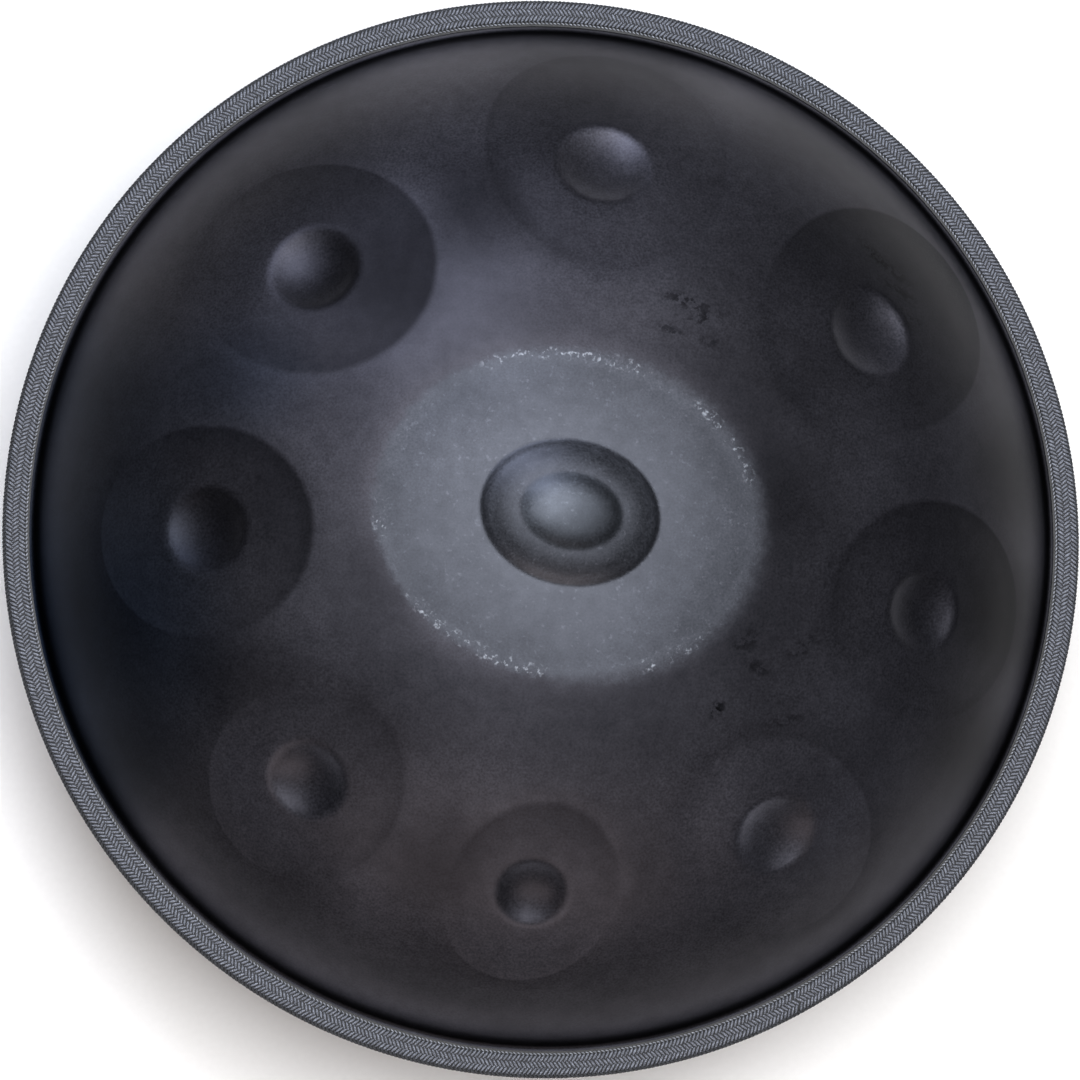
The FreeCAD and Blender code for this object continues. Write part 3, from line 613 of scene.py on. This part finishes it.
def makeDingShell(material):
    bm = bmesh.new()
    wall = shellShape["wall"]
    fine = math.degrees(math.asin(upperValues["ovalReach"] / crownRadius))
    middle = math.degrees(math.asin(upperValues["dingReach"] / crownRadius))
    vert = bm.verts.new((0, 0, topHeight))
    vert = runArc(bm, vert, crownCentre, fine, 55)
    vert = runArc(bm, vert, crownCentre, middle - fine, 22)
    vert = runArc(bm, vert, crownCentre, junctionAngle - middle, 36)
    vert = runArc(bm, vert, shoulderCentre, slopeAngle - junctionAngle, 54)
    vert = runArc(bm, vert, footCentre, -slopeAngle, 5)
    vert = runLine(bm, vert, (flangeRadius, rimHeight + flangeHalf), 2)
    vert = runLine(bm, vert, (flangeRadius, rimHeight + flangeHalf - wall))
    vert = runLine(bm, vert, (footCentre[0], rimHeight + flangeHalf - wall))
    vert = runArc(bm, vert, footCentre, slopeAngle, 4)
    vert = runArc(bm, vert, shoulderCentre, junctionAngle - slopeAngle, 23)
    runArc(bm, vert, crownCentre, -junctionAngle, 30)
    turnRound(bm, upperValues["turns"])
    piece = newPiece("dingShell", bm, material)
    mesh = piece.data
    points = np.zeros(len(mesh.vertices) * 3)
    mesh.vertices.foreach_get("co", points)
    points = points.reshape(-1, 3)
    radius = np.hypot(points[:, 0], points[:, 1])
    onCrown = radius < junctionRadius
    centreOut = np.where(onCrown, 0, shoulderCentre[0])
    centreUp = np.where(onCrown, crownCentre[1], shoulderCentre[1])
    out = radius - centreOut
    up = points[:, 2] - centreUp
    length = np.hypot(out, up)
    nominal = np.where(onCrown, crownRadius, shoulderRadius)
    inner = nominal - length > wall / 2
    safe = np.maximum(radius, 1e-9)
    lean = out / length / safe
    normal = np.stack([lean * points[:, 0], lean * points[:, 1], up / length], axis=1)
    outerPlace = points + normal * np.where(inner, wall, 0)[:, None]
    sink, layers, across, along = pressSteps(outerPlace)
    pressed = radius < upperValues["pressedReach"]
    points = points - normal * np.where(pressed, sink, 0)[:, None]
    oval = dingHeight(across, along) - np.where(inner, wall, 0)
    near = radius < upperValues["ovalReach"]
    points[:, 2] = np.where(near, softMax(oval, points[:, 2], upperValues["creaseBlend"]), points[:, 2])
    mesh.vertices.foreach_set("co", points.ravel())
    for name, values in layers.items():
        layer = mesh.attributes.new(name, "FLOAT", "POINT")
        layer.data.foreach_set("value", np.clip(values, -500, 500).astype(np.float32))
    tint = np.ones((len(points), 4), dtype=np.float32)
    tint[:, :3] = skinTintAndPaintedLight(outerPlace)
    layer = mesh.attributes.new("skinTintAndPaintedLight", "FLOAT_COLOR", "POINT")
    layer.data.foreach_set("color", tint.ravel())
    mesh.update()
    settle(piece, "upper_steel", "upper_shell")
    return piece


makeDingShell(nitridedSteel("nitridedSteelUpper", True))


# lower shell with its sound port

lowerValues = {
    "turns": 288,
    "landRadius": 64.0 * mm,
    "portRadius": 52.0 * mm,
    "mouthRadius": 4.0 * mm,
    "neck": 14.0 * mm,
}


def makeGuShell(material):
    bm = bmesh.new()
    wall = shellShape["wall"]
    shoulder, across, drop = shellCentre(rimHeight)
    land = lowerValues["landRadius"]
    ratio = shoulder / drop
    lift = (across ** 2 + drop ** 2 - shoulder ** 2 - land ** 2) / (2 * drop)
    spread = 1 - ratio ** 2
    root = math.sqrt((lift * ratio) ** 2 + spread * (lift ** 2 + land ** 2))
    crown = (lift * ratio + root) / spread
    crownPlace = (0, math.sqrt(crown ** 2 - land ** 2))
    shoulderPlace = (across, drop)
    footPlace = (shellShape["footRadius"], rimHeight - footHeight)
    landAngle = math.degrees(math.asin(land / crown))
    meet = math.degrees(math.atan2(across, crownPlace[1] - drop))
    port = lowerValues["portRadius"]
    mouth = lowerValues["mouthRadius"]
    mouthPlace = (port + mouth, mouth)
    vert = bm.verts.new((port, 0, lowerValues["neck"]))
    vert = runLine(bm, vert, (port, mouth), 4)
    vert = runArc(bm, vert, mouthPlace, -90, 6)
    vert = runLine(bm, vert, (land, 0), 3)
    vert = runArc(bm, vert, crownPlace, landAngle - meet, 34)
    vert = runArc(bm, vert, shoulderPlace, meet - slopeAngle, 34)
    vert = runArc(bm, vert, footPlace, slopeAngle, 5)
    vert = runLine(bm, vert, (flangeRadius, rimHeight - flangeHalf), 2)
    vert = runLine(bm, vert, (flangeRadius, rimHeight - flangeHalf + wall))
    vert = runLine(bm, vert, (footPlace[0], rimHeight - flangeHalf + wall))
    vert = runArc(bm, vert, footPlace, -slopeAngle, 4)
    vert = runArc(bm, vert, shoulderPlace, slopeAngle - meet, 20)
    innerLand = math.degrees(math.acos((crownPlace[1] - wall) / (crown - wall)))
    vert = runArc(bm, vert, crownPlace, meet - innerLand, 20)
    vert = runLine(bm, vert, (port + mouth, wall), 2)
    vert = runArc(bm, vert, mouthPlace, 90, 5)
    vert = runLine(bm, vert, (port + wall, lowerValues["neck"]), 3)
    runLine(bm, vert, (port, lowerValues["neck"]))
    bmesh.ops.remove_doubles(bm, verts=bm.verts, dist=1e-6)
    turnRound(bm, lowerValues["turns"])
    piece = newPiece("guShell", bm, material)
    settle(piece, "lower_steel", "lower_shell")
    return piece


makeGuShell(nitridedSteel("nitridedSteelLower", False))


# braided trim

braidValues = {
    "coreRadius": 262.9 * mm,
    "coreHalf": 3.1 * mm,
    "edge": 253.9 * mm,
    "outer": 265.0 * mm,
    "half": 5.2 * mm,
    "corner": 4.1 * mm,
    "baseInset": 0.75 * mm,
    "columns": 9,
    "pitches": (15, 27),
    "floatLength": 4.3 * mm,
    "floatWidth": 1.2 * mm,
    "floatHeight": 1.3 * mm,
    "floatCut": (8, 5),             # segments and rings of a float
    "slant": 35.0,
    "seamAzimuth": -61.6,
    "seamOpening": 0.7 * mm,
}


def sleevePlace(distance, inset):
    # a place on the sleeve's outside, from the upper inner edge round to the lower one, and its normal's tilt
    flat = braidValues["outer"] - braidValues["corner"] - braidValues["edge"]
    bend = braidValues["corner"] * math.pi / 2
    side = 2 * (braidValues["half"] - braidValues["corner"])
    total = 2 * flat + 2 * bend + side
    lower = distance > total / 2
    run = total - distance if lower else distance
    centreOut = braidValues["outer"] - braidValues["corner"]
    centreUp = braidValues["half"] - braidValues["corner"]
    reach = braidValues["corner"] - inset
    if run < flat:
        out, up, tilt = braidValues["edge"] + run, braidValues["half"] - inset, 0.0
    elif run < flat + bend:
        tilt = (run - flat) / braidValues["corner"]
        out, up = centreOut + reach * math.sin(tilt), centreUp + reach * math.cos(tilt)
    else:
        tilt = math.pi / 2
        out, up = braidValues["outer"] - inset, centreUp - (run - flat - bend)
    if lower:
        up, tilt = -up, math.pi - tilt
    return out, rimHeight + up, tilt, total


def makeBraidBase(material):
    bm = bmesh.new()
    inset = braidValues["baseInset"]
    corner = braidValues["corner"] - inset
    edge, half = braidValues["edge"], braidValues["half"] - inset
    core, coreHalf = braidValues["coreRadius"], braidValues["coreHalf"]
    centreOut = braidValues["outer"] - braidValues["corner"]
    centreUp = braidValues["half"] - braidValues["corner"]
    vert = bm.verts.new((edge, 0, rimHeight + coreHalf))
    vert = runLine(bm, vert, (edge, rimHeight + half))
    vert = runLine(bm, vert, (centreOut, rimHeight + half), 3)
    vert = runArc(bm, vert, (centreOut, rimHeight + centreUp), 90, 6)
    vert = runLine(bm, vert, (centreOut + corner, rimHeight - centreUp))
    vert = runArc(bm, vert, (centreOut, rimHeight - centreUp), 90, 6)
    vert = runLine(bm, vert, (edge, rimHeight - half), 3)
    vert = runLine(bm, vert, (edge, rimHeight - coreHalf))
    vert = runLine(bm, vert, (core, rimHeight - coreHalf))
    vert = runLine(bm, vert, (core, rimHeight + coreHalf))
    runLine(bm, vert, (edge, rimHeight + coreHalf))
    bmesh.ops.remove_doubles(bm, verts=bm.verts, dist=1e-6)
    turnRound(bm, 360)
    piece = newPiece("braidSleeve", bm, material)
    settle(piece, "braid", "rim_braid")
    return piece


def makeBraidColumns(name, columns, material):
    # one repeat of stretched floats per column, carried round the rim from one side of the seam to the other
    bm = bmesh.new()
    total = sleevePlace(0, 0)[3]
    spacing = total / braidValues["columns"]
    rim = braidValues["outer"]
    opening = braidValues["seamOpening"] / rim
    pitch = (2 * math.pi - opening) / math.prod(braidValues["pitches"])
    start = math.radians(braidValues["seamAzimuth"]) + opening / 2
    for column in columns:
        distance = (column + 0.5) * spacing
        out, up, tilt, total = sleevePlace(distance, braidValues["floatHeight"] * 0.5)
        slant = braidValues["slant"] * (1 if column % 2 else -1)
        for number in range(2):
            azimuth = start + pitch * (0.25 + 0.5 * number + 0.25 * (column % 2))
            segments, rings = braidValues["floatCut"]
            made = bmesh.ops.create_uvsphere(bm, u_segments=segments, v_segments=rings, radius=0.5)
            place = (Matrix.Rotation(azimuth, 4, "Z") @ Matrix.Translation((out, 0, up))
                     @ Matrix.Rotation(tilt, 4, "Y") @ Matrix.Rotation(math.radians(slant), 4, "Z")
                     @ Matrix.Diagonal((braidValues["floatLength"], braidValues["floatWidth"],
                                        braidValues["floatHeight"], 1))
                     @ Matrix.Rotation(math.pi / 2, 4, "Y"))
            bmesh.ops.transform(bm, matrix=place, verts=made["verts"])
    repeatRound(bm, pitch, braidValues["pitches"])
    piece = newPiece(name, bm, material)
    settle(piece, "braid", "rim_braid")
    return piece


yarnValues = {  # colours between the fibres and at their ends; sizes in mm, the fibre coarser than the real
    "braidYarn": {"shade": "#2a2c31", "fibreEnd": "#8e93a0", "dyePatch": 3.0, "fibre": 0.5},
    # painted shade: the braid's outer side gets darker colours for the shade it sits in
    "sidePaintedShadeYarn": {"shade": "#17191c", "fibreEnd": "#43464d", "dyePatch": 3.0, "fibre": 0.5},
    # painted shade: a near-black sleeve under the floats stands for the shade in the gaps between them
    "gapPaintedShadeYarn": {"shade": "#121315", "fibreEnd": "#2a2c30", "dyePatch": 3.0, "fibre": 0.6},
    # the cord's own pale grey, lightened further as a painted highlight along the braid's inner edge
    "cordYarnAndHighlight": {"shade": "#5e6169", "fibreEnd": "#a2a6b0", "dyePatch": 2.0, "fibre": 0.4},
}
yarn = clothMaterial("braidedYarn", yarnValues["braidYarn"])
# painted shade on the braid's outer side
sidePaintedShadeYarn = clothMaterial("braidSidePaintedShade", yarnValues["sidePaintedShadeYarn"])
# painted shade in the gaps between the floats
gapPaintedShade = clothMaterial("braidGapPaintedShade", yarnValues["gapPaintedShadeYarn"])
makeBraidBase(gapPaintedShade)
makeBraidColumns("braidUpper", range(0, 3), yarn)
makeBraidColumns("braidSide", range(3, 6), sidePaintedShadeYarn)
makeBraidColumns("braidLower", range(6, 9), yarn)


# edge cords

cordValues = {
    "radius": 0.55 * mm,
    "gap": 0.05 * mm,
    "twists": (27, 30),
    "twistSize": (1.9 * mm, 0.8 * mm, 1.05 * mm),
    "lay": 62.0,
}


def makeEdgeCord(name, side, node, material):
    bm = bmesh.new()
    centre = braidValues["edge"] - cordValues["radius"] - cordValues["gap"]
    height = rimHeight + side * (braidValues["coreHalf"] + cordValues["radius"])
    made = bmesh.ops.create_uvsphere(bm, u_segments=6, v_segments=5, radius=0.5)
    lay = Matrix.Rotation(math.radians(cordValues["lay"]), 4, "Z")
    place = (Matrix.Translation((centre, 0, height)) @ lay
             @ Matrix.Diagonal(cordValues["twistSize"] + (1,)) @ Matrix.Rotation(math.pi / 2, 4, "Y"))
    bmesh.ops.transform(bm, matrix=place, verts=made["verts"])
    repeatRound(bm, 2 * math.pi / math.prod(cordValues["twists"]), cordValues["twists"])
    piece = newPiece(name, bm, material)
    settle(piece, "cord", node)
    return piece


# the cord's colour carries a painted highlight
cordYarnAndHighlight = clothMaterial("twistedCordYarnAndHighlight", yarnValues["cordYarnAndHighlight"])
makeEdgeCord("edgeCordUpper", 1, "rim_cord_upper", cordYarnAndHighlight)
makeEdgeCord("edgeCordLower", -1, "rim_cord_lower", cordYarnAndHighlight)


# rubber channel and bond

for nodeName, finish in (("rim_channel", rubberMaterial()), ("flange_adhesive", epoxyMaterial())):
    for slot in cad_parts[nodeName].material_slots:
        slot.material = finish


# floor, camera and lights

floorValues = {"size": 4.0, "paint": ("#f4f4f4", "#fafafa"), "stipple": 3.0}


def makeFloor():
    bm = bmesh.new()
    bmesh.ops.create_grid(bm, x_segments=1, y_segments=1, size=floorValues["size"] / 2)
    floor = newPiece("floor", bm, paintedFloor(), False)


cameraValues = {"place": (-0.42134, -0.38963, 4.07362), "aim": (-0.00196, -0.00177, 0.11462), "lens": 272.33}


def makeCamera():
    lensData = bpy.data.cameras.new("camera")
    lensData.lens = cameraValues["lens"]
    lensData.sensor_width = 36
    lensData.clip_end = 20
    camera = bpy.data.objects.new("camera", lensData)
    scene.collection.objects.link(camera)
    back = (Vector(cameraValues["place"]) - Vector(cameraValues["aim"])).normalized()
    right = Vector((0, 1, 0)).cross(back).normalized()
    up = back.cross(right)
    turn = Matrix((right, up, back)).transposed().to_4x4()
    camera.matrix_world = Matrix.Translation(cameraValues["place"]) @ turn
    scene.camera = camera


lightTable = {  # azimuth, elevation, distance, width, height, watts, colour
    "backLight": (112, 48, 1.8, 0.9, 0.6, 12, "#e8eeff"),
    "topLight": (60, 84, 2.4, 2.0, 2.0, 94, "#ffffff"),
    "frontLight": (-95, 38, 2.0, 1.6, 0.8, 9, "#ffece0"),
}
worldValues = {"colour": "#9a9ca2", "strength": 0.35}


def makeLights():
    for name, (azimuth, elevation, distance, width, height, watts, colour) in lightTable.items():
        data = bpy.data.lights.new(name, "AREA")
        data.shape = "RECTANGLE"
        data.size, data.size_y = width, height
        data.energy = watts
        data.color = hexColour(colour)[:3]
        light = bpy.data.objects.new(name, data)
        scene.collection.objects.link(light)
        lean = Euler((math.radians(90 - elevation), 0, math.radians(azimuth + 90)))
        spot = Vector((0, 0, distance))
        spot.rotate(lean)
        light.matrix_world = Matrix.Translation(spot + Vector((0, 0, rimHeight))) @ lean.to_matrix().to_4x4()
    world = bpy.data.worlds.new("studio")
    scene.world = world
    world.use_nodes = True
    backdrop = world.node_tree.nodes["Background"]
    backdrop.inputs["Color"].default_value = hexColour(worldValues["colour"])
    backdrop.inputs["Strength"].default_value = worldValues["strength"]


makeFloor()
makeCamera()
makeLights()
print("floor, camera and lights in place")
